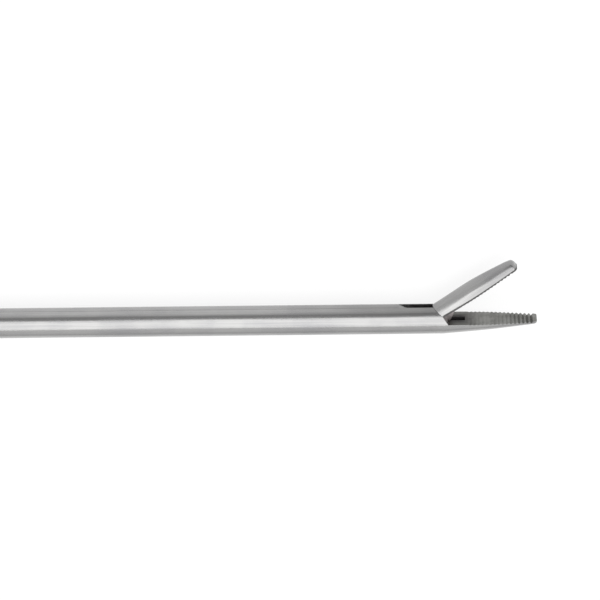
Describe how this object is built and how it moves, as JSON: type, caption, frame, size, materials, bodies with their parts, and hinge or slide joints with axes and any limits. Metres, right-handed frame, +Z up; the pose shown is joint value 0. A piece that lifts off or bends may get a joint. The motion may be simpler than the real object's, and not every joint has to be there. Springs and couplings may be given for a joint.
{
  "type": "alligator ear forceps",
  "caption": "Ring-handled ear forceps: a slim round shaft with a sliding rod that opens and closes a small serrated upper jaw on a fixed lower jaw.",
  "frame": {"origin": "on the handle screw's axis, at the flat side of the joint block that the instrument rests on", "axes": "+X along the shaft towards the jaws, +Y the way the upper jaw opens, +Z up out of the surface that the instrument lies on"},
  "size_m": [0.1634, 0.0802, 0.0052],
  "materials": {
    "polished_steel": "polished stainless steel with a fine satin grain",
    "pin_steel": "plain ground stainless steel"
  },
  "bodies": {
    "base": {"shaft_and_thumb_handle": "polished_steel", "jaw_pivot_pin": "pin_steel", "rear_guide_rivet": "pin_steel", "front_guide_rivet": "pin_steel", "handle_screw": "pin_steel"},
    "jaw": {"upper_jaw": "polished_steel", "rod_front_pin": "pin_steel"},
    "rod": {"slide_rod": "polished_steel"},
    "lever": {"finger_handle": "polished_steel", "rod_rear_pin": "pin_steel"}
  },
  "joints": [
    {"name": "handle_pivot", "type": "hinge", "parent": "base", "child": "lever", "pos_m": [0, 0, 0.0025], "axis": [0, 0, 1], "range_deg": [-9.84, 0]},
    {"name": "rod_slide", "type": "slide", "parent": "base", "child": "rod", "axis": [1, 0, 0], "range_m": [0, 0.0006185]},
    {"name": "jaw_hinge", "type": "hinge", "parent": "base", "child": "jaw", "pos_m": [0.0857, 0.0027, 0.0025], "axis": [0, 0, 1], "range_deg": [-34.21, 0]}
  ],
  "couplings": [
    {"joint": "rod_slide", "follows": "handle_pivot", "m_per_rad": -0.0035956},
    {"joint": "jaw_hinge", "follows": "handle_pivot", "ratio": 3.4757}
  ]
}
